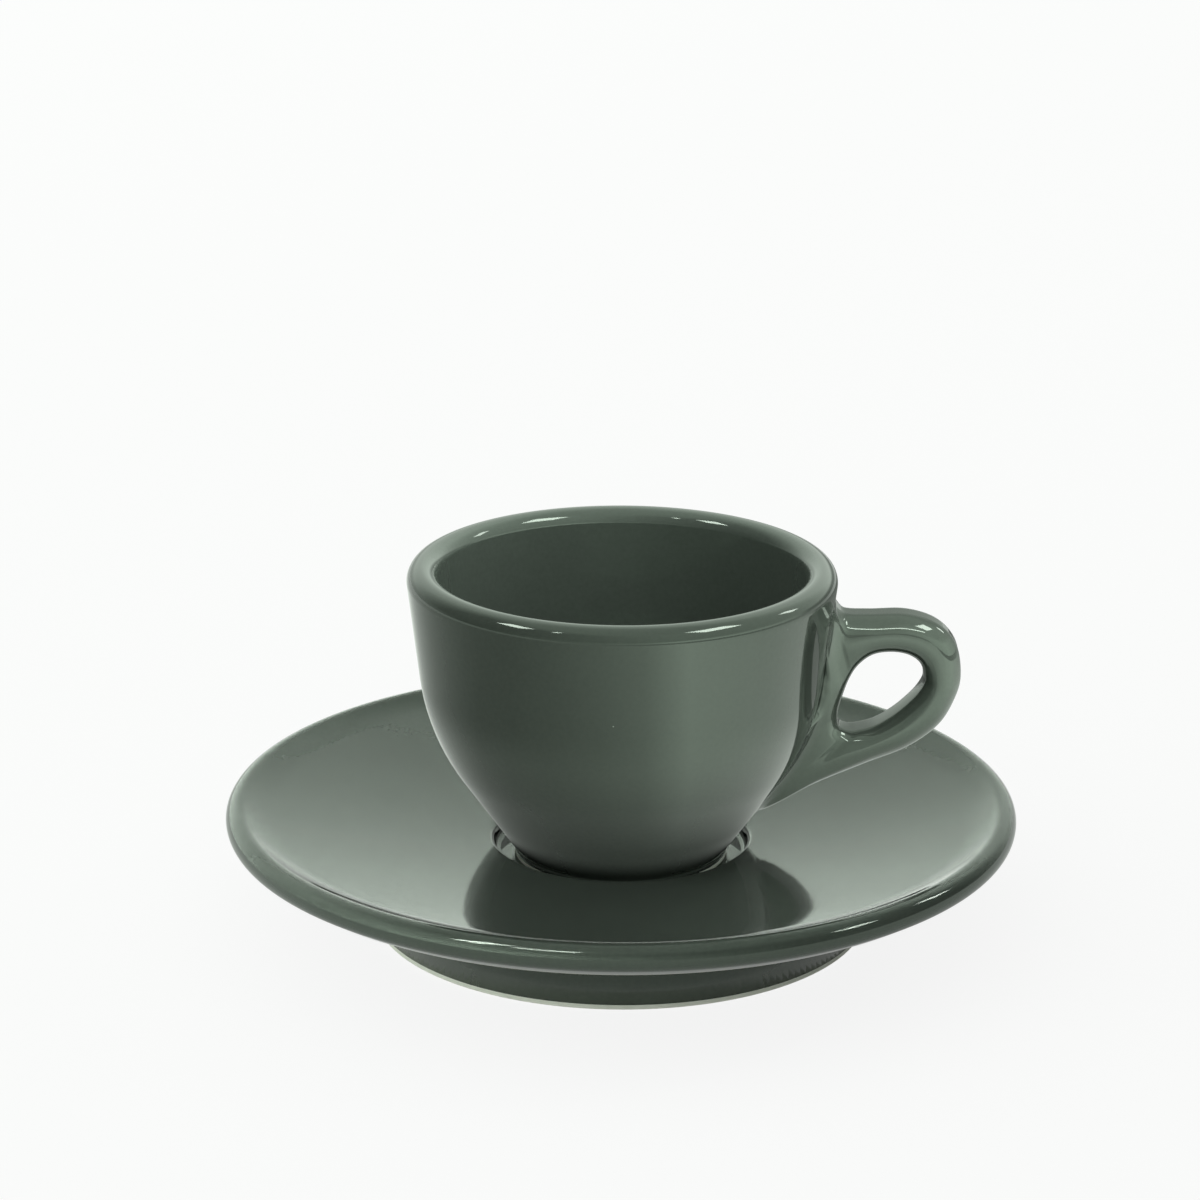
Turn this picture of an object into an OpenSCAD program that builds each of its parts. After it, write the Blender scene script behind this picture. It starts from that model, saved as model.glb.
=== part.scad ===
// Espresso cup on its saucer, in glazed stoneware.
// The origin is at the middle of the saucer's foot, +Z is up and the handle points along +X.

/* [Cup bowl] */
// Diameter across the lip
cup_d = 64.5; // [58:0.5:72]
// Height of the cup from its foot to its lip
cup_h = 46; // [43:0.5:54]
// Thickness of the wall, which the full round lip takes too
wall_t = 4.8; // [3.8:0.1:5.6]
// Thickness of the base over the foot's recess
base_t = 3.8; // [3:0.1:6]
// Lean of the upper wall from the vertical, in degrees
wall_lean = 7; // [4:0.5:10]
// Lean of the lower wall from the vertical, in degrees
belly_lean = 35; // [31:0.5:40]
// Radius of the belly, on the outside
belly_r = 34; // [26:1:38]
// Radius inside, where the wall runs into the floor
floor_r = 11; // [7:0.5:12]

/* [Cup foot] */
// Diameter of the cup's foot
cup_foot_d = 32.4; // [29:0.2:35]
// Height of the foot's upright side
cup_foot_h = 1.5; // [1:0.1:2.5]
// Width of the ring that the cup stands on
cup_ring_w = 3.2; // [2.4:0.1:4.5]
// Depth of the recess under the cup
cup_recess = 1.8; // [1.2:0.1:2.5]

/* [Handle] */
// How far the handle stands out past the lip
handle_out = 18.75; // [15:0.25:24]
// Height of the handle, from the end of its root to its top bar
handle_h = 30.6; // [26:0.2:33]
// Drop from the lip to the top bar
handle_drop = 7.3; // [5.5:0.1:9]
// Width of the handle, seen from its end
handle_w = 8; // [6:0.2:10]
// Rounding of the edges round the finger hole
hole_edge_r = 1.8; // [1:0.1:2.2]
// Rounding of the outer edges
bar_edge_r = 2.4; // [1.4:0.1:2.8]
// Fillet where the root runs into the wall
root_fillet = 2.2; // [1.2:0.1:3.5]
// Film of slip that the handle is stuck on with
slip_t = 0.04; // [0.02:0.01:0.15]

/* [Saucer] */
// Diameter across the rim
saucer_d = 120; // [112:1:135]
// Height of the rim's crest
saucer_h = 19; // [18:0.25:23]
// Radius of the rolled rim
rim_r = 2.05; // [1.6:0.05:2.4]
// Height of the dish beside the well
dish_h = 12.9; // [12:0.1:14]
// Slope of the dish at the foot of its flare, in degrees
dish_slope = 11; // [9:0.5:14]
// Slope of the flare where it meets the rim, in degrees
flare_slope = 28; // [20:1:35]
// Width of the flare
flare_w = 4.5; // [3:0.25:7]
// Slope of the underside where it meets the rim, in degrees
under_slope = 33; // [28:1:38]
// Height of the underside where it meets the foot
under_h = 8.6; // [7.5:0.1:9.5]

/* [Saucer well] */
// Diameter of the well at the crest of its edge
well_d = 40.6; // [38:0.2:46]
// Depth of the well
well_depth = 2.9; // [2:0.1:3.5]
// Rounding of the well's edge
well_edge_r = 0.9; // [0.5:0.1:1.2]
// Fillet round the well's floor
well_fillet = 1.1; // [0.4:0.1:1.4]
// Thickness of the saucer under the well
well_floor_t = 4.4; // [3.5:0.1:5.5]

/* [Saucer foot] */
// Diameter of the foot where it stands
saucer_foot_d = 75.4; // [68:0.2:82]
// Width of the foot where it stands
saucer_ring_w = 4.4; // [3:0.1:6]
// Taper of the foot's sides from the vertical, in degrees
foot_taper = 5; // [2:0.5:8]
// Height of the saucer's underside just inside the foot
inner_under_h = 7.6; // [6.8:0.1:9]

/* [Bare clay] */
// Height of the band of bare clay on both feet
bare_h = 0.8; // [0.5:0.1:1]
// Rounding of both feet where they stand
foot_edge_r = 0.4; // [0.2:0.05:0.45]

/* [Hidden] */
$fn = 128;
glaze = "#3f4a45";
bare_clay = "#d8d4c8";
// Least number of chords in an arc, and the most degrees that a chord spans
arc_chords = 6;
arc_step = 6;

// Cup, measured from its own foot
lip_r = wall_t / 2;
lip_c = [cup_d / 2 - lip_r, cup_h - lip_r];
cup_foot_r = cup_foot_d / 2;
wall_top = lip_c + lip_r * [cos(wall_lean), -sin(wall_lean)];
belly_corner_z = (wall_top[0] - cup_foot_r - wall_top[1] * tan(wall_lean) + cup_foot_h * tan(belly_lean))
    / (tan(belly_lean) - tan(wall_lean));
belly_corner = [cup_foot_r + (belly_corner_z - cup_foot_h) * tan(belly_lean), belly_corner_z];
belly_run = belly_r * tan((belly_lean - wall_lean) / 2);
belly_c = belly_corner + belly_run * [sin(wall_lean), cos(wall_lean)]
    - belly_r * [cos(wall_lean), -sin(wall_lean)];
belly_in_r = belly_r - wall_t;
cup_floor_z = cup_recess + base_t;
floor_start = belly_c + belly_in_r * [cos(belly_lean), -sin(belly_lean)];
floor_c_z = cup_floor_z + floor_r;
floor_c = [floor_start[0] - (floor_start[1] - floor_c_z + floor_r * sin(belly_lean)) * tan(belly_lean)
    - floor_r * cos(belly_lean), floor_c_z];

// Saucer, measured from the table
rim_c = [saucer_d / 2 - rim_r, saucer_h - rim_r];
flare_top = rim_c + rim_r * [-sin(flare_slope), cos(flare_slope)];
flare_r = flare_w / (sin(flare_slope) - sin(dish_slope));
flare_foot = flare_top - flare_r * [sin(flare_slope) - sin(dish_slope), cos(dish_slope) - cos(flare_slope)];
well_r = well_d / 2;
well_side_r = well_r - well_edge_r;
well_floor_z = dish_h - well_depth;
dish_chord = atan((flare_foot[1] - dish_h) / (flare_foot[0] - well_r));
dish_slope_in = 2 * dish_chord - dish_slope;
under_rim = rim_c + rim_r * [sin(under_slope), -cos(under_slope)];
saucer_foot_r = saucer_foot_d / 2;
saucer_foot_in_r = saucer_foot_r - saucer_ring_w;
foot_top = [saucer_foot_r - under_h * tan(foot_taper), under_h];
under_well_z = well_floor_z - well_floor_t;

// Handle, measured from the cup's foot
handle_z = cup_h - handle_drop - handle_h;
// How deep the root's section runs under the wall's face before it is drawn back to it, as a share of the wall
root_depth_share = 0.125;
root_depth = root_depth_share * wall_t;
// Rings between two stations of the handle
rings_each = 5;
// Points of a ring along one side, round one edge and across half of its outer face
side_points = 7;
edge_points = 4;
face_points = 3;
// Stations round the finger hole: the hole's edge, then the outer edge, across in shares of
// handle_out from the lip and up in shares of handle_h. The wall takes over where it lies further out.
station_shares = [
    [[0.707, 0.670], [1.000, 0.697]],
    [[0.672, 0.750], [0.952, 0.850]],
    [[0.573, 0.796], [0.797, 0.952]],
    [[0.429, 0.810], [0.552, 1.000]],
    [[0.285, 0.794], [0.264, 0.998]],
    [[0.173, 0.740], [0.061, 1.003]],
    [[0.104, 0.670], [-0.060, 1.040]],
    [[0.056, 0.585], [-0.100, 0.700]],
    [[0.019, 0.497], [-0.180, 0.480]],
    [[0.027, 0.428], [-0.350, 0.240]],
    [[0.109, 0.399], [-0.560, -0.010]],
    [[0.200, 0.404], [-0.173, 0.116]],
    [[0.328, 0.428], [0.248, 0.226]],
    [[0.477, 0.487], [0.584, 0.312]],
    [[0.605, 0.559], [0.835, 0.431]],
    [[0.680, 0.618], [0.965, 0.578]]
];

// Points along an arc about c, from one angle to another
function arc(c, r, from, to) =
    let (n = max(arc_chords, ceil(abs(to - from) / arc_step)))
    [for (i = [0:n]) let (a = from + (to - from) * i / n) c + r * [cos(a), sin(a)]];

// Arc from p to q, rising at the given slope where it ends
function arc_between(p, q, slope) =
    let (side = [-sin(slope), cos(slope)],
         r = norm(p - q) ^ 2 / (2 * (p - q) * side),
         c = q + r * side,
         from = atan2(p[1] - c[1], p[0] - c[0]),
         to = atan2(q[1] - c[1], q[0] - c[0]))
    arc(c, abs(r), from, to);

function reversed(points) = [for (i = [len(points) - 1:-1:0]) points[i]];

// Radius of the cup's outer wall at a height
function wall_r(z) =
    z > belly_c[1] - belly_r * sin(wall_lean) ? wall_top[0] - (wall_top[1] - z) * tan(wall_lean)
    : z > belly_c[1] - belly_r * sin(belly_lean) ? belly_c[0] + sqrt(belly_r ^ 2 - (z - belly_c[1]) ^ 2)
    : cup_foot_r + max(z - cup_foot_h, 0) * tan(belly_lean);

// Smooth closed curve through the stations, at position t
function along(points, t) =
    let (n = len(points),
         i = floor(t),
         f = t - i,
         p = [for (k = [-1:2]) points[(i + k + n) % n]])
    p[1] + f / 2 * (p[2] - p[0] + f * (2 * p[0] - 5 * p[1] + 4 * p[2] - p[3]
        + f * (3 * p[1] - p[0] - 3 * p[2] + p[3])));

// Half of a ring's section: distance in from the hole's edge and half width, for a bar of depth d
function half_section(d) =
    let (inner_r = hole_edge_r,
         outer_r = min(bar_edge_r, (d - hole_edge_r) * 0.9),
         w = handle_w / 2)
    concat(
        [for (i = [0:edge_points]) let (a = 90 * i / edge_points)
            [inner_r * (1 - cos(a)), w - inner_r + inner_r * sin(a)]],
        [for (i = [1:side_points]) [inner_r + (d - inner_r - outer_r) * i / (side_points + 1), w]],
        [for (i = [0:edge_points]) let (a = 90 * i / edge_points)
            [d - outer_r + outer_r * sin(a), w - outer_r + outer_r * cos(a)]],
        [for (i = [1:face_points]) [d, (w - outer_r) * (1 - 2 * i / (2 * face_points + 1))]]);

// A point of the handle, widened by the root's fillet and held out to the wall
function seated(p) =
    let (gap = norm([p[0], p[1]]) - wall_r(p[2]) - slip_t,
         in = min(max(root_fillet - gap, 0), root_fillet),
         lift = root_fillet - sqrt(root_fillet ^ 2 - in ^ 2),
         y = p[1] * (1 + 2 * lift / handle_w),
         r = norm([p[0], y]),
         least = wall_r(p[2]) + slip_t)
    r < least ? [p[0] * least / r, y * least / r, p[2]] : [p[0], y, p[2]];

// One ring of the handle, at position t round the finger hole
function ring(t) =
    let (hole = place(along([for (s = station_shares) s[0]], t)),
         free = place(along([for (s = station_shares) s[1]], t)),
         edge = [max(free[0], wall_r(free[1]) - root_depth), free[1]],
         d = norm(edge - hole),
         way = (edge - hole) / d,
         half = half_section(d))
    [for (p = concat(half, [for (q = reversed(half)) [q[0], -q[1]]]))
        let (m = hole + p[0] * way)
        seated([m[0], p[1], m[1]])];

function place(share) = [cup_d / 2 + handle_out * share[0], handle_z + handle_h * share[1]];

module turned(points) {
    rotate_extrude() polygon(points);
}

// Ring of bare clay under a foot: a band with rounded lower edges
module bare_ring(out_r, in_r, taper) {
    spread = bare_h * tan(taper);
    turned(concat(
        [[in_r + spread, bare_h]],
        arc([in_r + foot_edge_r, foot_edge_r], foot_edge_r, 180, 270),
        arc([out_r - foot_edge_r, foot_edge_r], foot_edge_r, -90, 0),
        [[out_r - spread, bare_h]]));
}

module saucer_dish() {
    spread = bare_h * tan(foot_taper);
    foot_in_top = [saucer_foot_in_r + inner_under_h * tan(foot_taper), inner_under_h];
    color(glaze)
    turned(concat(
        [[0, well_floor_z]],
        arc([well_side_r - well_fillet, well_floor_z + well_fillet], well_fillet, -90, 0),
        arc([well_r, dish_h - well_edge_r], well_edge_r, 180, 90 + dish_slope_in),
        arc_between([well_r, dish_h], flare_foot, dish_slope),
        arc(flare_foot + flare_r * [-sin(dish_slope), cos(dish_slope)], flare_r,
            dish_slope - 90, flare_slope - 90),
        arc(rim_c, rim_r, 90 + flare_slope, under_slope - 90),
        reversed(arc_between(foot_top, under_rim, under_slope)),
        [[saucer_foot_r - spread, bare_h]],
        [[saucer_foot_in_r + spread, bare_h]],
        [[foot_in_top[0] - saucer_ring_w / 2, foot_in_top[1]]],
        [[well_r, under_well_z], [0, under_well_z]]));
}

module saucer_foot_ring() {
    color(bare_clay) bare_ring(saucer_foot_r, saucer_foot_in_r, foot_taper);
}

module cup_bowl() {
    ring_in_r = cup_foot_r - cup_ring_w;
    color(glaze)
    translate([0, 0, well_floor_z])
    turned(concat(
        [[0, cup_floor_z]],
        arc(floor_c, floor_r, -90, -belly_lean),
        arc(belly_c, belly_in_r, -belly_lean, -wall_lean),
        arc(lip_c, lip_r, 180 - wall_lean, -wall_lean),
        arc(belly_c, belly_r, -wall_lean, -belly_lean),
        [[cup_foot_r, cup_foot_h], [cup_foot_r, bare_h], [ring_in_r, bare_h], [ring_in_r, cup_recess]],
        [[0, cup_recess]]));
}

module cup_foot_ring() {
    color(bare_clay)
    translate([0, 0, well_floor_z])
    bare_ring(cup_foot_r, cup_foot_r - cup_ring_w, 0);
}

// The handle is one closed loft: rings of points that follow one another round the finger hole
module cup_handle() {
    rings = len(station_shares) * rings_each;
    points = [for (i = [0:rings - 1]) each ring(i / rings_each)];
    m = len(points) / rings;
    color(glaze)
    translate([0, 0, well_floor_z])
    polyhedron(points, [
        for (i = [0:rings - 1]) for (j = [0:m - 1])
            let (a = i * m + j,
                 b = i * m + (j + 1) % m,
                 c = (i + 1) % rings * m + (j + 1) % m,
                 d = (i + 1) % rings * m + j)
            each [[a, b, c], [a, c, d]]]);
}

saucer_dish();
saucer_foot_ring();
cup_bowl();
cup_foot_ring();
cup_handle();
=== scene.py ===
import math

import bpy
from mathutils import Matrix, Vector


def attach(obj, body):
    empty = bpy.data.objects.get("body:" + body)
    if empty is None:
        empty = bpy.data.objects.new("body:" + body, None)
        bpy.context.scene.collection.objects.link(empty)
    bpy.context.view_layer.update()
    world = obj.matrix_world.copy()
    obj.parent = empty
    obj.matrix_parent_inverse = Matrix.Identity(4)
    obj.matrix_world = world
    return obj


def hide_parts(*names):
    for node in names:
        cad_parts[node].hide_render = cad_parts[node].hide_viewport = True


# Espresso cup on its saucer, in glossy dark green glaze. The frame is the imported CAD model:
# the origin is at the middle of the saucer's foot, +Z is up and the handle points along +X.
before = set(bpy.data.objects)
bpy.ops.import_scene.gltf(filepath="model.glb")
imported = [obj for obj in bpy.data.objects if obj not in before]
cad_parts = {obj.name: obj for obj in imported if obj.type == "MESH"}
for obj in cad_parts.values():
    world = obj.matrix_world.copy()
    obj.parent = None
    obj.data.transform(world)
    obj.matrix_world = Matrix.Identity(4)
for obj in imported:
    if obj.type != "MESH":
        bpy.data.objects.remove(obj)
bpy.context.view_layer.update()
print("frame loaded:", sorted(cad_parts))

mm = 0.001
weld = 0.002 * mm                           # points closer than this are one point
arcStep = 3                                 # most degrees that a chord of a profile spans
fewestChords = 6                            # on any arc of a profile
cornerSteps = 6                             # chords of a soft corner
turnSteps = 192                             # steps of a turned piece, once round


# profiles are points (radius, height) in mm, as the CAD has them

def arc(centre, radius, start, end):
    chords = max(fewestChords, math.ceil(abs(end - start) / arcStep))
    turns = [math.radians(start + (end - start) * i / chords) for i in range(chords + 1)]
    return [(centre[0] + radius * math.cos(a), centre[1] + radius * math.sin(a)) for a in turns]


def arcBetween(start, end, slope):
    # rises at the given slope where it ends
    side = Vector((-math.sin(math.radians(slope)), math.cos(math.radians(slope))))
    run = Vector(start) - Vector(end)
    radius = run.length_squared / (2 * run.dot(side))
    centre = Vector(end) + radius * side
    first = Vector(start) - centre
    last = Vector(end) - centre
    return arc(centre, abs(radius), math.degrees(math.atan2(first.y, first.x)),
               math.degrees(math.atan2(last.y, last.x)))


def softCorner(before, corner, after, radius):
    # the glaze fills or rounds a corner between two straight runs
    a = (Vector(before) - Vector(corner)).normalized()
    b = (Vector(after) - Vector(corner)).normalized()
    half = a.angle(b) / 2
    centre = Vector(corner) + (a + b).normalized() * radius / math.sin(half)
    start = Vector(corner) + a * radius / math.tan(half)
    end = Vector(corner) + b * radius / math.tan(half)
    points = []
    for i in range(cornerSteps + 1):
        way = start.lerp(end, i / cornerSteps) - centre
        points.append(tuple(centre + way.normalized() * radius))
    return points


def turn(name, profile):
    # one point drawn along the profile, then spun round the axis
    bpy.ops.object.select_all(action="DESELECT")
    bpy.ops.mesh.primitive_plane_add(size=mm)
    piece = bpy.context.object
    piece.name = piece.data.name = name
    bpy.ops.object.mode_set(mode="EDIT")
    bpy.ops.mesh.merge(type="CENTER")
    at = Vector((0, 0, 0))
    for count, (radius, height) in enumerate(profile):
        step = Vector((radius, 0, height)) * mm - at
        at += step
        if count == 0:
            bpy.ops.transform.translate(value=step)
        else:
            bpy.ops.mesh.extrude_region_move(TRANSFORM_OT_translate={"value": step})
    bpy.ops.mesh.select_all(action="SELECT")
    bpy.ops.mesh.spin(steps=turnSteps, angle=2 * math.pi, center=(0, 0, 0), axis=(0, 0, 1))
    bpy.ops.mesh.select_all(action="SELECT")
    bpy.ops.mesh.remove_doubles(threshold=weld)
    bpy.ops.mesh.normals_make_consistent(inside=False)
    bpy.ops.object.mode_set(mode="OBJECT")
    bpy.ops.object.shade_smooth()
    return piece


saucer = {
    "width": 120, "height": 19, "rimRadius": 2.05,
    "dishHeight": 12.9, "dishSlope": 11, "flareSlope": 28, "flareWidth": 4.5,
    "underSlope": 33, "underHeight": 8.6,
    "wellWidth": 40.6, "wellDepth": 2.9, "wellEdge": 0.9, "wellFillet": 1.1, "wellFloor": 4.4,
    "footWidth": 75.4, "footRing": 4.4, "footTaper": 5, "innerUnderHeight": 7.6,
    "bareHeight": 0.8, "cornerRadius": 0.8,
}


def saucerProfile(s):
    sine = lambda a: math.sin(math.radians(a))
    cosine = lambda a: math.cos(math.radians(a))
    tangent = lambda a: math.tan(math.radians(a))
    rim = (s["width"] / 2 - s["rimRadius"], s["height"] - s["rimRadius"])
    flareTop = (rim[0] - s["rimRadius"] * sine(s["flareSlope"]),
                rim[1] + s["rimRadius"] * cosine(s["flareSlope"]))
    flareRadius = s["flareWidth"] / (sine(s["flareSlope"]) - sine(s["dishSlope"]))
    flareFoot = (flareTop[0] - s["flareWidth"],
                 flareTop[1] - flareRadius * (cosine(s["dishSlope"]) - cosine(s["flareSlope"])))
    well = s["wellWidth"] / 2
    wellSide = well - s["wellEdge"]
    floor = s["dishHeight"] - s["wellDepth"]
    chord = math.degrees(math.atan2(flareFoot[1] - s["dishHeight"], flareFoot[0] - well))
    slopeIn = 2 * chord - s["dishSlope"]
    underRim = (rim[0] + s["rimRadius"] * sine(s["underSlope"]),
                rim[1] - s["rimRadius"] * cosine(s["underSlope"]))
    foot = s["footWidth"] / 2
    footIn = foot - s["footRing"]
    footTop = (foot - s["underHeight"] * tangent(s["footTaper"]), s["underHeight"])
    spread = s["bareHeight"] * tangent(s["footTaper"])
    bareOut = (foot - spread, s["bareHeight"])
    bareIn = (footIn + spread, s["bareHeight"])
    innerTop = (footIn + s["innerUnderHeight"] * tangent(s["footTaper"]), s["innerUnderHeight"])
    innerEdge = (innerTop[0] - s["footRing"] / 2, innerTop[1])
    underWell = (well, floor - s["wellFloor"])
    under = list(reversed(arcBetween(footTop, underRim, s["underSlope"])))
    top = [(0, floor)]
    top += arc((wellSide - s["wellFillet"], floor + s["wellFillet"]), s["wellFillet"], -90, 0)
    top += arc((well, s["dishHeight"] - s["wellEdge"]), s["wellEdge"], 180, 90 + slopeIn)
    top += arcBetween((well, s["dishHeight"]), flareFoot, s["dishSlope"])
    flareCentre = (flareFoot[0] - flareRadius * sine(s["dishSlope"]),
                   flareFoot[1] + flareRadius * cosine(s["dishSlope"]))
    top += arc(flareCentre, flareRadius, s["dishSlope"] - 90, s["flareSlope"] - 90)
    top += arc(rim, s["rimRadius"], 90 + s["flareSlope"], s["underSlope"] - 90)
    top += under[:-2]
    top += softCorner(under[-3], footTop, bareOut, s["cornerRadius"])
    top += [bareOut, bareIn]
    top += softCorner(bareIn, innerTop, innerEdge, s["cornerRadius"])
    top += softCorner(innerTop, innerEdge, underWell, s["cornerRadius"])
    top += softCorner(innerEdge, underWell, (0, underWell[1]), s["cornerRadius"])
    top += [(0, underWell[1])]
    return top


saucerDish = turn("saucer_glazed", saucerProfile(saucer))
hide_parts("saucer_dish")
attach(saucerDish, "saucer")
print("saucer turned:", len(saucerDish.data.polygons), "faces")

cup = {
    "width": 64.5, "height": 46, "wall": 4.8, "base": 3.8,
    "wallLean": 7, "bellyLean": 35, "bellyRadius": 34, "floorRadius": 11,
    "footWidth": 32.4, "footHeight": 1.5, "footRing": 3.2, "recess": 1.8,
    "bareHeight": 0.8, "cornerRadius": 0.6,
    "stands": saucer["dishHeight"] - saucer["wellDepth"],       # on the well's floor
}


def cupShape(c):
    # the centres that the bowl's arcs turn about, measured from the cup's foot
    lean, belly = math.radians(c["wallLean"]), math.radians(c["bellyLean"])
    lipRadius = c["wall"] / 2
    lip = Vector((c["width"] / 2 - lipRadius, c["height"] - lipRadius))
    foot = c["footWidth"] / 2
    wallTop = lip + lipRadius * Vector((math.cos(lean), -math.sin(lean)))
    cornerZ = ((wallTop.x - foot - wallTop.y * math.tan(lean) + c["footHeight"] * math.tan(belly))
               / (math.tan(belly) - math.tan(lean)))
    corner = Vector((foot + (cornerZ - c["footHeight"]) * math.tan(belly), cornerZ))
    run = c["bellyRadius"] * math.tan((belly - lean) / 2)
    bellyCentre = (corner + run * Vector((math.sin(lean), math.cos(lean)))
                   - c["bellyRadius"] * Vector((math.cos(lean), -math.sin(lean))))
    inner = c["bellyRadius"] - c["wall"]
    floorStart = bellyCentre + inner * Vector((math.cos(belly), -math.sin(belly)))
    floorZ = c["recess"] + c["base"] + c["floorRadius"]
    drop = floorStart.y - floorZ + c["floorRadius"] * math.sin(belly)
    floorX = floorStart.x - drop * math.tan(belly) - c["floorRadius"] * math.cos(belly)
    return {"lipRadius": lipRadius, "lip": lip, "foot": foot, "wallTop": wallTop,
            "bellyCentre": bellyCentre, "inner": inner, "floorCentre": Vector((floorX, floorZ))}


shape = cupShape(cup)


def cupProfile(c, s):
    lean, belly = c["wallLean"], c["bellyLean"]
    ringIn = s["foot"] - c["footRing"]
    points = [(0, c["recess"] + c["base"])]
    points += arc(s["floorCentre"], c["floorRadius"], -90, -belly)
    points += arc(s["bellyCentre"], s["inner"], -belly, -lean)
    points += arc(s["lip"], s["lipRadius"], 180 - lean, -lean)
    points += arc(s["bellyCentre"], c["bellyRadius"], -lean, -belly)
    bareOut, bareIn = (s["foot"], c["bareHeight"]), (ringIn, c["bareHeight"])
    points += softCorner(points[-1], (s["foot"], c["footHeight"]), bareOut, c["cornerRadius"])
    points += [bareOut, bareIn]
    points += softCorner(bareIn, (ringIn, c["recess"]), (0, c["recess"]), c["cornerRadius"] / 2)
    points += [(0, c["recess"])]
    return [(r, z + c["stands"]) for r, z in points]


def wallRadius(z):
    # radius of the cup's outer wall at a height over its foot
    centre, radius = shape["bellyCentre"], cup["bellyRadius"]
    lean, belly = math.radians(cup["wallLean"]), math.radians(cup["bellyLean"])
    if z > centre.y - radius * math.sin(lean):
        return shape["wallTop"].x - (shape["wallTop"].y - z) * math.tan(lean)
    if z > centre.y - radius * math.sin(belly):
        return centre.x + math.sqrt(radius ** 2 - (z - centre.y) ** 2)
    return shape["foot"] + max(z - cup["footHeight"], 0) * math.tan(belly)


cupBowl = turn("cup_glazed", cupProfile(cup, shape))
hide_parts("cup_bowl")
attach(cupBowl, "cup")
print("cup turned:", len(cupBowl.data.polygons), "faces")

handle = {
    "out": 18.75, "height": 30.6, "drop": 7.3, "width": 8,
    "holeEdge": 1.8, "outerEdge": 2.4, "edgeShare": 0.9, "fillet": 2.2,
    "crown": 0.9,                           # how much thinner a bar is at its edges than in its middle
    "sunk": 0.15,                           # how far the root goes into the wall
    "tries": 12,                            # halvings that settle the fillet on the wall
    "rootDepth": 0.6, "rootMore": 3,        # how far the sections run on inside the wall
    "rings": 192,
    "sidePoints": 80, "edgePoints": 7, "facePoints": 5,
    # stations round the finger hole: the hole's edge, then the outer edge, across in shares of
    # "out" from the lip and up in shares of "height"
    "stations": [
        ((0.707, 0.670), (1.000, 0.697)),
        ((0.672, 0.750), (0.952, 0.850)),
        ((0.573, 0.796), (0.797, 0.952)),
        ((0.429, 0.810), (0.552, 1.000)),
        ((0.285, 0.794), (0.264, 0.998)),
        ((0.173, 0.740), (0.061, 1.003)),
        ((0.104, 0.670), (-0.060, 1.040)),
        ((0.056, 0.585), (-0.100, 0.700)),
        ((0.019, 0.497), (-0.180, 0.480)),
        ((0.027, 0.428), (-0.430, 0.240)),
        ((0.109, 0.399), (-0.625, -0.020)),
        ((0.200, 0.404), (-0.173, 0.116)),
        ((0.328, 0.428), (0.248, 0.226)),
        ((0.477, 0.487), (0.584, 0.312)),
        ((0.605, 0.559), (0.835, 0.431)),
        ((0.680, 0.618), (0.965, 0.578)),
    ],
}


def along(points, t):
    # smooth closed curve through the stations
    count = len(points)
    i = math.floor(t)
    f = t - i
    a, b, c, d = (points[(i + k) % count] for k in (-1, 0, 1, 2))
    return b + f / 2 * (c - a + f * (2 * a - 5 * b + 4 * c - d + f * (3 * b - a - 3 * c + d)))


def halfSection(h, depth):
    # distance in from the hole's edge and half width, for a bar of this depth
    inner = h["holeEdge"]
    outer = min(h["outerEdge"], (depth - inner) * h["edgeShare"])
    wide = h["width"] / 2
    quarter = [math.radians(90 * i / h["edgePoints"]) for i in range(h["edgePoints"] + 1)]
    points = [(inner * (1 - math.cos(a)), wide - inner + inner * math.sin(a)) for a in quarter]
    points += [(inner + (depth - inner - outer) * i / (h["sidePoints"] + 1), wide)
               for i in range(1, h["sidePoints"] + 1)]
    points += [(depth - outer + outer * math.sin(a), wide - outer + outer * math.cos(a)) for a in quarter]
    points += [(depth, (wide - outer) * (1 - 2 * i / (2 * h["facePoints"] + 1)))
               for i in range(1, h["facePoints"] + 1)]
    return [(into, side * (1 - h["crown"] / wide * (2 * into / depth - 1) ** 2)) for into, side in points]


def seated(h, p):
    # a point of the handle, widened by the root's fillet until it lies along the wall
    radius = wallRadius(p.z)
    y = p.y
    for i in range(h["tries"]):
        gap = min(math.hypot(p.x, y) - radius, h["fillet"])
        lift = h["fillet"] - (math.sqrt(h["fillet"] ** 2 - (h["fillet"] - gap) ** 2) if gap > 0 else gap)
        y = (y + p.y * (1 + 2 * lift / h["width"])) / 2
    out = math.hypot(p.x, y)
    if out < radius - h["sunk"]:
        return Vector((p.x, y, 0)) * (radius - h["sunk"]) / out + Vector((0, 0, p.z))
    return Vector((p.x, y, p.z))


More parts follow.
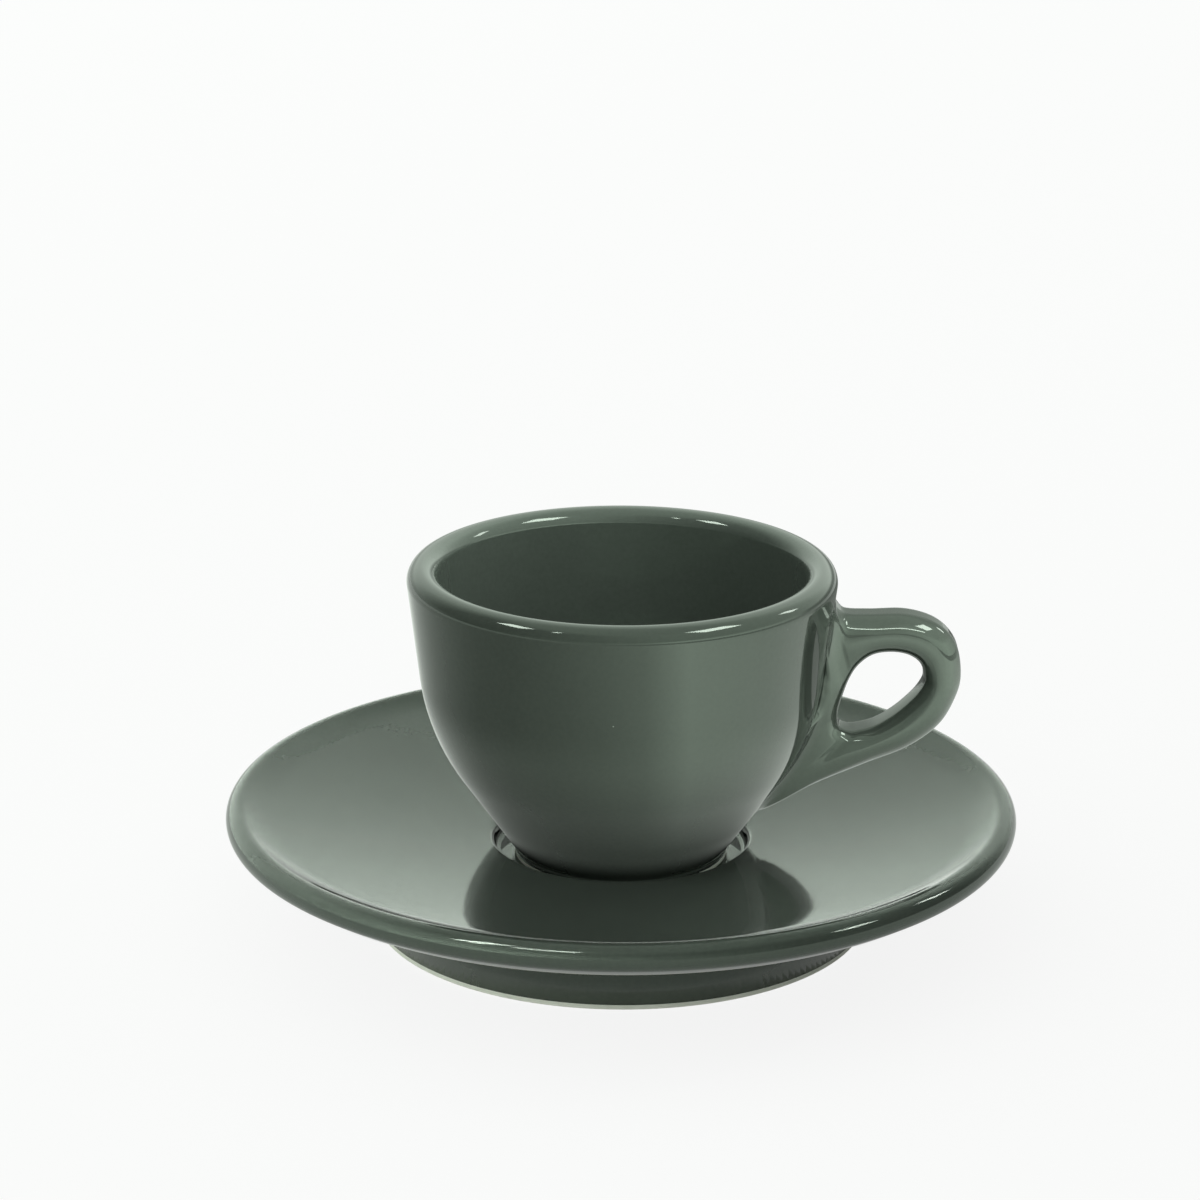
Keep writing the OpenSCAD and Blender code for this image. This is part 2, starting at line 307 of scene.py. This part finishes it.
def makeHandle(h):
    foot = cup["height"] - h["drop"] - h["height"]
    sides = [[Vector((cup["width"] / 2 + h["out"] * x, 0, foot + h["height"] * z)) for x, z in edge]
             for edge in zip(*h["stations"])]
    ringPoints = 2 * len(halfSection(h, h["width"]))
    bpy.ops.object.select_all(action="DESELECT")
    bpy.ops.mesh.primitive_torus_add(major_segments=h["rings"], minor_segments=ringPoints,
                                     major_radius=h["height"] / 2 * mm, minor_radius=h["width"] / 2 * mm)
    piece = bpy.context.object
    piece.name = piece.data.name = "handle_glazed"
    for i in range(h["rings"]):
        t = i * len(h["stations"]) / h["rings"]
        hole, free = (along(edge, t) for edge in sides)
        edge = Vector((max(free.x, wallRadius(free.z) - h["rootDepth"]), 0, free.z))
        way = (edge - hole).normalized()
        hidden = min(max(wallRadius(free.z) - free.x, 0) / h["rootDepth"], 1)
        half = halfSection(h, (edge - hole).length + hidden * h["rootMore"])
        section = half + [(depth, -wide) for depth, wide in reversed(half)]
        for k, (depth, wide) in enumerate(section):
            p = seated(h, hole + depth * way + Vector((0, wide, 0)))
            piece.data.vertices[i * ringPoints + k].co = (p + Vector((0, 0, cup["stands"]))) * mm
    bpy.ops.object.mode_set(mode="EDIT")
    bpy.ops.mesh.select_all(action="SELECT")
    bpy.ops.mesh.normals_make_consistent(inside=False)
    bpy.ops.object.mode_set(mode="OBJECT")
    bpy.ops.object.shade_smooth()
    return piece


handlePiece = makeHandle(handle)
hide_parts("cup_handle")
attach(handlePiece, "cup")
print("handle lofted:", len(handlePiece.data.polygons), "faces")


class Link:
    # an output socket: arithmetic on it adds Math nodes
    def __init__(self, finish, socket):
        self.finish = finish
        self.socket = socket

    def output(self, name):
        # another output of the same node
        return Link(self.finish, self.socket.node.outputs[name])

    def join(self, operation, first, second):
        return self.finish.node("ShaderNodeMath", {"operation": operation}, {0: first, 1: second})

    def __add__(self, other):
        return self.join("ADD", self, other)

    def __radd__(self, other):
        return self.join("ADD", other, self)

    def __sub__(self, other):
        return self.join("SUBTRACT", self, other)

    def __rsub__(self, other):
        return self.join("SUBTRACT", other, self)

    def __mul__(self, other):
        return self.join("MULTIPLY", self, other)

    def __rmul__(self, other):
        return self.join("MULTIPLY", other, self)


class Finish:
    # a material or the world, and the one way that nodes are added to it
    def __init__(self, name, world=None):
        self.material = world or bpy.data.materials.new(name)
        self.material.use_nodes = True
        self.tree = self.material.node_tree
        self.tree.nodes.clear()
        self.end = "ShaderNodeOutputWorld" if world else "ShaderNodeOutputMaterial"

    def done(self, surface):
        self.node(self.end, None, {"Surface": surface})
        return self.material

    def node(self, kind, settings=None, values=None, output=0):
        made = self.tree.nodes.new(kind)
        for key, value in (settings or {}).items():
            if key == "stops":
                stops = made.color_ramp.elements
                while len(stops) < len(value):
                    stops.new(1)
                for stop, (place, level) in zip(stops, value):
                    stop.position = place
                    stop.color = (level, level, level, 1)
            else:
                setattr(made, key, value)
        for key, value in (values or {}).items():
            if isinstance(value, Link):
                self.tree.links.new(value.socket, made.inputs[key])
            else:
                made.inputs[key].default_value = value
        return Link(self, made.outputs[output]) if made.outputs else None


levelOnly = (1, 1, 0)                       # a vector times this loses its height
noiseMean = 0.5

glaze = {
    # the inside colour is the same glaze painted lighter than the outside: painted light for the cup's shaded
    # inside
    "outside": (0.040, 0.0475, 0.0405, 1), "inside": (0.075, 0.089, 0.077, 1),
    "ior": 1.6, "tint": (0.85, 1.0, 0.86, 1),
    "turned": (0.006, -0.006),              # how far a face looks away from the axis, outside and inside; faces that look in get the inside colour, which is painted light
    "tone": {"size": 0.016, "share": 0.16}, "mottle": {"size": 0.0007, "share": 0.12},
    "gloss": {"size": 0.006, "least": 0.035, "most": 0.075},
    "specks": {"size": 0.0065, "reach": 0.028, "rare": 0.6, "colour": (0.32, 0.36, 0.32, 1)},
    "waves": {"size": 0.006, "height": 4e-6}, "peel": {"size": 0.0012, "height": 1.5e-7},
    "pits": {"size": 0.009, "reach": 0.022, "depth": 2e-5},
}


def ramp(f, value, stops):
    return f.node("ShaderNodeValToRGB", {"stops": stops}, {0: value})


def smooth(f, value, start, end):
    return f.node("ShaderNodeMapRange", {"interpolation_type": "SMOOTHSTEP"}, {
        "Value": value, "From Min": start, "From Max": end})


def noise(f, place, size, detail=2):
    return f.node("ShaderNodeTexNoise", None, {"Vector": place, "Scale": 1 / size, "Detail": detail})


def spots(f, place, size, reach, rare):
    # 1 inside small round spots, one at most to each cell of this size, and none in the share "rare"
    apart = f.node("ShaderNodeTexVoronoi", None, {"Vector": place, "Scale": 1 / size}, "Distance")
    chance = f.node("ShaderNodeSeparateColor", None, {0: apart.output("Color")}, 0)
    wide = f.node("ShaderNodeMapRange", None, {"Value": chance, "From Min": rare, "To Max": reach})
    return f.node("ShaderNodeMath", {"operation": "LESS_THAN"}, {0: apart, 1: wide})


def glazeFinish(g, name, inside):
    f = Finish(name)
    place = f.node("ShaderNodeTexCoord", None, None, "Object")
    level = f.node("ShaderNodeVectorMath", {"operation": "MULTIPLY"}, {0: place, 1: levelOnly})
    outwards = f.node("ShaderNodeVectorMath", {"operation": "DOT_PRODUCT"}, {
        0: level, 1: place.output("Normal")}, "Value")
    # faces that look towards the axis take the inside colour, painted lighter: painted light
    insidePaintedLighter = smooth(f, outwards, *g["turned"])
    colour = f.node("ShaderNodeMix", {"data_type": "RGBA"}, {0: insidePaintedLighter, 6: g["outside"], 7: g[inside]}, 2)
    uneven = 1
    for key in ("tone", "mottle"):
        uneven = uneven + 2 * g[key]["share"] * (noise(f, place, g[key]["size"]) - noiseMean)
    colour = f.node("ShaderNodeVectorMath", {"operation": "SCALE"}, {0: colour, "Scale": uneven})
    speck = g["specks"]
    speckled = spots(f, place, speck["size"], speck["reach"], speck["rare"])
    colour = f.node("ShaderNodeMix", {"data_type": "RGBA"}, {0: speckled, 6: colour, 7: speck["colour"]}, 2)
    gloss = g["gloss"]
    roughness = f.node("ShaderNodeMapRange", None, {
        "Value": noise(f, place, gloss["size"]), "To Min": gloss["least"], "To Max": gloss["most"]})
    pit = g["pits"]
    height = pit["depth"] * (0 - spots(f, place, pit["size"], pit["reach"], 0))
    for key in ("waves", "peel"):
        height = height + g[key]["height"] * noise(f, place, g[key]["size"], 0)
    bump = f.node("ShaderNodeBump", None, {"Height": height, "Distance": 1})
    return f.done(f.node("ShaderNodeBsdfPrincipled", None, {
        "Base Color": colour, "Roughness": roughness, "Normal": bump,
        "IOR": g["ior"], "Specular Tint": g["tint"]}))


clay = {
    "pale": (0.86, 0.86, 0.79, 1), "dark": (0.70, 0.70, 0.63, 1), "tone": 0.003,
    "specks": {"size": 0.0022, "reach": 0.09, "rare": 0.55, "colour": (0.30, 0.26, 0.20, 1)},
    "matt": {"size": 0.001, "least": 0.7, "most": 0.92},
    "grain": {"size": 0.0003, "height": 4e-5},
}


def clayFinish(c):
    f = Finish("bareClay")
    place = f.node("ShaderNodeTexCoord", None, None, "Object")
    tone = noise(f, place, c["tone"])
    colour = f.node("ShaderNodeMix", {"data_type": "RGBA"}, {0: tone, 6: c["dark"], 7: c["pale"]}, 2)
    speck = c["specks"]
    speckled = spots(f, place, speck["size"], speck["reach"], speck["rare"])
    colour = f.node("ShaderNodeMix", {"data_type": "RGBA"}, {0: speckled, 6: colour, 7: speck["colour"]}, 2)
    matt = c["matt"]
    roughness = f.node("ShaderNodeMapRange", None, {
        "Value": noise(f, place, matt["size"]), "To Min": matt["least"], "To Max": matt["most"]})
    grain = c["grain"]["height"] * noise(f, place, c["grain"]["size"])
    bump = f.node("ShaderNodeBump", None, {"Height": grain, "Distance": 1})
    return f.done(f.node("ShaderNodeBsdfPrincipled", None, {
        "Base Color": colour, "Roughness": roughness, "Normal": bump}))


saucerDish.data.materials.append(glazeFinish(glaze, "saucerGlaze", "outside"))
# the cup's inside takes the lighter inside colour, which is painted light
cupBowl.data.materials.append(glazeFinish(glaze, "cupGlaze", "inside"))
handlePiece.data.materials.append(glazeFinish(glaze, "handleGlaze", "outside"))
bareClay = clayFinish(clay)
saucerRing, cupRing = (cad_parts[name] for name in ("saucer_foot_ring", "cup_foot_ring"))
for ring in (saucerRing, cupRing):
    ring.data.materials.clear()
    ring.data.materials.append(bareClay)
print("finishes made")

view = {"back": 0.5562, "up": 0.2307, "pitch": 17.98, "yaw": 0.34, "roll": 0.21, "lens": 117.03}
cameraData = bpy.data.cameras.new("camera")
cameraData.lens = view["lens"]
camera = bpy.data.objects.new("camera", cameraData)
bpy.context.scene.collection.objects.link(camera)
camera.location = (0, -view["back"], view["up"])
camera.rotation_euler = (Matrix.Rotation(math.radians(view["yaw"]), 3, "Z")
                         @ Matrix.Rotation(math.radians(90 - view["pitch"]), 3, "X")
                         @ Matrix.Rotation(math.radians(view["roll"]), 3, "Z")).to_euler()
bpy.context.scene.camera = camera
print("camera placed")

# azimuths are seen from above, 0 towards the camera and 90 to its right
studio = {
    "sky": 0.1, "skyTint": (0.905, 1.0, 0.91, 1), "domeSegments": 64, "domeRings": 32,
    "floorSize": 12, "floorColour": (0.8, 0.8, 0.8, 1), "floorGlow": 0.15,
    "white": (1.0, 1.0, 1.0, 1),
    "whiteShare": 0.85, "mirroredShare": 0.2,               # how white the floor looks, straight and mirrored
    "sheetStart": 16.6, "sheetEnd": (230, 19.5), "flagLift": 0.1, "sheetTint": (0.93, 1.0, 0.93, 1),
}
# levels go by distance from the axis ("rise") and by azimuth ("round"), with a glow by the cup's foot
cards = {
    "saucerCard": {
        "lift": 0.22, "level": 3, "near": 0.33, "nearReach": (0.038, 0.062), "nearFoot": (0.0165, 0.0195),
        "rise": ((0.020, 0), (0.022, 0.10), (0.026, 0.28), (0.030, 0.38), (0.034, 0.52), (0.040, 0.68),
                 (0.046, 0.80), (0.054, 0.90), (0.064, 0.96), (0.085, 1)),
        "round": ((-180, 1.3), (-150, 1.5), (-120, 1.1), (-60, 0.5), (-10, 0.93), (30, 1.4), (90, 1.4),
                  (130, 1.1), (150, 1.4), (180, 1.3))},
    "cupCard": {
        "lift": 0.14, "level": 3, "near": 0.33, "nearReach": (0.038, 0.062), "nearFoot": (0.0165, 0.0195),
        "rise": ((0.020, 0), (0.022, 0.10), (0.026, 0.28), (0.030, 0.38), (0.034, 0.52), (0.040, 0.68),
                 (0.046, 0.80), (0.054, 0.90), (0.064, 0.96), (0.085, 1)),
        "round": ((-180, 0.9), (-150, 1.1), (-130, 0.8), (-110, 0.64), (-90, 0.52), (-70, 0.38),
                  (-50, 0.42), (-30, 0.63), (-10, 0.93), (10, 1.35), (30, 2.45), (50, 2.1), (70, 1.7),
                  (90, 1.45), (104, 1.2), (114, 0.4), (150, 0.2), (180, 0.6))},
    "handleCard": {
        "lift": 0.18, "level": 3, "near": 0.35, "nearReach": (0.038, 0.062), "nearFoot": (0.0165, 0.0195),
        "rise": ((0.026, 0.2), (0.032, 0.3), (0.040, 0.34), (0.048, 0.42), (0.056, 0.6), (0.066, 0.8),
                 (0.085, 1)),
        "round": ((-180, 0.7), (-30, 0.6), (-10, 0.8), (10, 1.25), (30, 2.5), (50, 3), (75, 3), (95, 2.0),
                  (110, 1.2), (130, 0.5), (150, 0.15), (180, 0.3))},
}
# levels go by azimuth, near the floor and higher up, and there is one level overhead
domes = {
    "saucerDome": {
        "radius": 2.0, "clear": True, "level": 3, "higherFrom": (0.2, 0.6),
        "overhead": 0.45, "overheadFrom": (0.6, 0.95),
        "lower": ((-180, 1.3), (-160, 1.6), (-140, 1.6), (-110, 1.1), (-90, 1.35), (-70, 1.95), (-50, 2.2),
                  (-30, 2.1), (-10, 1.0), (10, 0.55), (30, 0.25), (50, 0.05), (110, 0), (130, 0.35),
                  (150, 0.95), (180, 1.3)),
        "higher": ((-180, 0.8), (-160, 1.05), (-140, 1.3), (-110, 1.3), (-70, 1.3), (-50, 1.25),
                   (-30, 0.8), (-10, 0.45), (10, 0.15), (30, 0.05), (110, 0.05), (130, 0.45),
                   (150, 1.2), (180, 0.8))},
    "cupDome": {
        "radius": 2.2, "clear": True, "level": 3, "higherFrom": (0.1, 0.22),
        "overhead": 0.8, "overheadFrom": (0.77, 0.95),
        "lower": ((-180, 0.6), (-150, 0.75), (-130, 0.5), (-110, 0.3), (-90, 0.03), (-70, 0.1), (-50, 0.3),
                  (-30, 0.5), (-10, 0.8), (10, 1.2), (30, 2.4), (50, 2.2), (70, 1.95), (90, 1.6),
                  (104, 1.0), (114, 0.25), (135, 0.2), (150, 0.3), (165, 0.3), (180, 0.5)),
        "higher": ((-180, 1.2), (-150, 1.1), (-130, 0.6), (-110, 0.1), (-70, 0.05), (-50, 0.15),
                   (-30, 0.32), (-10, 0.5), (10, 0.72), (30, 0.95), (110, 0.95), (130, 1.1),
                   (150, 1.5), (180, 1.15))},
    "handleDome": {                         # not clear, so it hides the white world from the set
        "radius": 2.4, "clear": False, "level": 3, "higherFrom": (0.3, 0.5),
        "overhead": 1.1, "overheadFrom": (0.77, 0.95),
        "lower": ((-180, 0.5), (-165, 0.9), (-145, 0.9), (-110, 0.3), (-50, 0.4), (-30, 0.6), (-10, 0.9),
                  (10, 1.6), (30, 2.3), (70, 2.6), (100, 1.6), (130, 0.6), (180, 0.5)),
        "higher": ((-180, 0.65), (-150, 0.6), (-110, 0.3), (-60, 0.5), (-30, 0.9), (-10, 0.9), (10, 1.4),
                   (30, 1.6), (90, 1.4), (130, 0.6), (180, 0.65))},
}
# boxes that draw the streaks, most of them on a single piece
lamps = {
    "sideBox": {"azimuth": 69, "elevation": 56, "distance": 0.9, "wide": 0.30, "tall": 0.20, "level": 12,
                "only": [cupBowl, handlePiece]},
    "frontBox": {"azimuth": -52, "elevation": 55, "distance": 0.9, "wide": 0.12, "tall": 0.26, "level": 14,
                 "only": [saucerDish]},
    "leftBox": {"azimuth": -76, "elevation": 52, "distance": 0.9, "wide": 0.20, "tall": 0.16, "level": 12,
                "only": [cupBowl]},
    "smallBox": {"azimuth": -46, "elevation": 56, "distance": 0.9, "wide": 0.04, "tall": 0.08, "level": 14,
                 "only": [cupBowl]},
    "backStrip": {"azimuth": 112, "elevation": 36, "distance": 0.9, "wide": 0.10, "tall": 0.16, "level": 8},
    "rimBox": {"azimuth": 79, "elevation": 41, "distance": 0.9, "wide": 0.16, "tall": 0.12, "level": 10,
               "only": [saucerDish]},
    "rimStrip": {"azimuth": -26, "elevation": 53, "distance": 0.9, "wide": 0.22, "tall": 0.14, "level": 10,
                 "only": [saucerDish]},
    "handleStrip": {"azimuth": 14, "elevation": 43, "distance": 0.9, "wide": 0.6, "tall": 0.07, "level": 14,
                    "only": [handlePiece]},
}


def towards(azimuth, elevation, distance):
    a, e = math.radians(azimuth), math.radians(elevation)
    return Vector((math.sin(a) * math.cos(e), -math.cos(a) * math.cos(e), math.sin(e))) * distance


def seenBy(light, pieces):
    # links a light to the pieces that it lights
    lit = bpy.data.collections.new(light.name)
    for piece in pieces:
        lit.objects.link(piece)
    light.light_linking.receiver_collection = lit


def addLamp(name, box):
    data = bpy.data.lights.new(name, "AREA")
    data.shape = "RECTANGLE"
    data.size, data.size_y = box["wide"], box["tall"]
    data.energy = box["level"] * math.pi * box["wide"] * box["tall"]
    lamp = bpy.data.objects.new(name, data)
    bpy.context.scene.collection.objects.link(lamp)
    place = towards(box["azimuth"], box["elevation"], box["distance"])
    lamp.location = place
    lamp.rotation_euler = place.to_track_quat("Z", "Y").to_euler()
    lamp.visible_camera = False
    if "only" in box:
        seenBy(lamp, box["only"])


def whiteSeen(f, direct, mirrored):
    # how much of the white background a ray sees, straight or in something shiny
    path = f.node("ShaderNodeLightPath", None, None, "Is Camera Ray")
    share = direct * path
    for ray in ("Is Glossy Ray", "Is Transmission Ray"):
        share = share + mirrored * path.output(ray)
    return share


def addFloor(s):
    bpy.ops.object.select_all(action="DESELECT")
    bpy.ops.mesh.primitive_plane_add(size=s["floorSize"])
    floor = bpy.context.object
    floor.name = "floor"
    f = Finish("paleFloor")
    plain = f.node("ShaderNodeBsdfDiffuse", None, {"Color": s["floorColour"]})
    glow = f.node("ShaderNodeEmission", None, {"Strength": s["floorGlow"]})
    lit = f.node("ShaderNodeAddShader", None, {0: plain, 1: glow})
    white = f.node("ShaderNodeEmission", None, {"Color": s["white"]})
    share = whiteSeen(f, s["whiteShare"], s["mirroredShare"])
    floor.data.materials.append(f.done(f.node("ShaderNodeMixShader", None, {0: share, 1: lit, 2: white})))
    return floor


perTurn = 0.5 / math.pi                     # turns to a radian
halfTurn = 0.5


def levelRound(f, place, stops, top):
    # a level that goes by the direction seen from above, along a ramp from -180 to 180 degrees
    right = f.node("ShaderNodeSeparateXYZ", None, {0: place}, "X")
    turned = f.node("ShaderNodeMath", {"operation": "ARCTAN2"}, {0: right, 1: 0 - right.output("Y")})
    shares = [(math.radians(azimuth) * perTurn + halfTurn, level / top) for azimuth, level in stops]
    return ramp(f, turned * perTurn + halfTurn, shares) * top


def glowing(f, tint, level):
    colour = f.node("ShaderNodeVectorMath", {"operation": "SCALE"}, {0: tint[:3], "Scale": level})
    return f.node("ShaderNodeEmission", None, {"Color": colour})


def addDome(name, d, pieces):
    # half a sphere of soft light round the set, which lights the given pieces only
    bpy.ops.object.select_all(action="DESELECT")
    bpy.ops.mesh.primitive_uv_sphere_add(segments=studio["domeSegments"], ring_count=studio["domeRings"],
                                         radius=d["radius"])
    dome = bpy.context.object
    dome.name = name
    bpy.ops.object.mode_set(mode="EDIT")
    bpy.ops.mesh.select_all(action="DESELECT")
    bpy.ops.object.mode_set(mode="OBJECT")
    for vertex in dome.data.vertices:
        vertex.select = vertex.co.z < -weld
    bpy.ops.object.mode_set(mode="EDIT")
    bpy.ops.mesh.delete(type="VERT")
    bpy.ops.object.mode_set(mode="OBJECT")
    f = Finish(name)
    place = f.node("ShaderNodeTexCoord", None, None, "Object")
    up = f.node("ShaderNodeSeparateXYZ", None, {0: place}, "Z") * (1 / d["radius"])
    higher = smooth(f, up, *d["higherFrom"])
    overhead = smooth(f, up, *d["overheadFrom"])
    around = (levelRound(f, place, d["lower"], d["level"]) * (1 - higher)
              + levelRound(f, place, d["higher"], d["level"]) * higher)
    level = around * (1 - overhead) + overhead * d["overhead"] + studio["sky"]
    glow = glowing(f, studio["skyTint"], level)
    if d["clear"]:
        glow = f.node("ShaderNodeAddShader", None, {0: glow, 1: f.node("ShaderNodeBsdfTransparent")})
    dome.data.materials.append(f.done(glow))
    dome.visible_camera = dome.visible_shadow = False
    seenBy(dome, pieces)


def addSheet(name, lift):
    # a sheet laid over the dish and out past it, which only reflections see and only from above
    profile = saucerProfile(saucer)
    rimTop = profile.index(max(profile, key=lambda point: point[1]))
    start = studio["sheetStart"]
    over = [(start, profile[0][1])] + [point for point in profile[:rimTop] if point[0] > start]
    over.append((studio["sheetEnd"][0] + lift, studio["sheetEnd"][1]))
    sheet = turn(name, [(radius - lift, height + lift) for radius, height in over])
    sheet.visible_camera = sheet.visible_shadow = sheet.visible_diffuse = False
    return sheet


def addFlag():
    # hides the dish and the floor from the cup's reflections
    f = Finish("flagBlack")
    under = f.node("ShaderNodeNewGeometry", None, None, "Backfacing")
    dark = f.node("ShaderNodeEmission", None, {"Strength": 0})
    clear = f.node("ShaderNodeBsdfTransparent")
    black = f.done(f.node("ShaderNodeMixShader", None, {0: under, 1: dark, 2: clear}))
    addSheet("flag", studio["flagLift"]).data.materials.append(black)


def addCard(name, c, pieces):
    # a glowing sheet over the flag, seen in the given pieces only
    f = Finish(name)
    place = f.node("ShaderNodeTexCoord", None, None, "Object")
    flat = f.node("ShaderNodeVectorMath", {"operation": "MULTIPLY"}, {0: place, 1: levelOnly})
    reach = f.node("ShaderNodeVectorMath", {"operation": "LENGTH"}, {0: flat}, "Value")
    far = c["rise"][-1][0]
    outwards = ramp(f, reach * (1 / far), [(out / far, level) for out, level in c["rise"]])
    near = c["near"] * smooth(f, reach, *reversed(c["nearReach"])) * smooth(f, reach, *c["nearFoot"])
    above = 1 - f.node("ShaderNodeNewGeometry", None, None, "Backfacing")
    level = (levelRound(f, place, c["round"], c["level"]) * outwards + near) * above
    glow = glowing(f, studio["sheetTint"], level)
    clear = f.node("ShaderNodeBsdfTransparent")
    card = addSheet(name, c["lift"])
    card.data.materials.append(f.done(f.node("ShaderNodeAddShader", None, {0: glow, 1: clear})))
    f.material.cycles.emission_sampling = "NONE"
    seenBy(card, pieces)


def addSky(s):
    world = bpy.data.worlds.new("studio")
    bpy.context.scene.world = world
    f = Finish("studio", world)
    dim = f.node("ShaderNodeBackground", None, {"Color": s["skyTint"], "Strength": s["sky"]})
    white = f.node("ShaderNodeBackground", None, {"Color": s["white"]})
    f.done(f.node("ShaderNodeMixShader", None, {0: whiteSeen(f, 1, 1), 1: dim, 2: white}))


floor = addFloor(studio)
for name, box in lamps.items():
    addLamp(name, box)
addFlag()
addDome("saucerDome", domes["saucerDome"], [saucerDish, saucerRing, floor])
addDome("cupDome", domes["cupDome"], [cupBowl, cupRing])
addDome("handleDome", domes["handleDome"], [handlePiece])
addCard("saucerCard", cards["saucerCard"], [saucerDish])
addCard("cupCard", cards["cupCard"], [cupBowl, cupRing])
addCard("handleCard", cards["handleCard"], [handlePiece])
addSky(studio)
print("studio lit:", len(lamps), "lamps")

bpy.context.scene.view_settings.view_transform = "Standard"
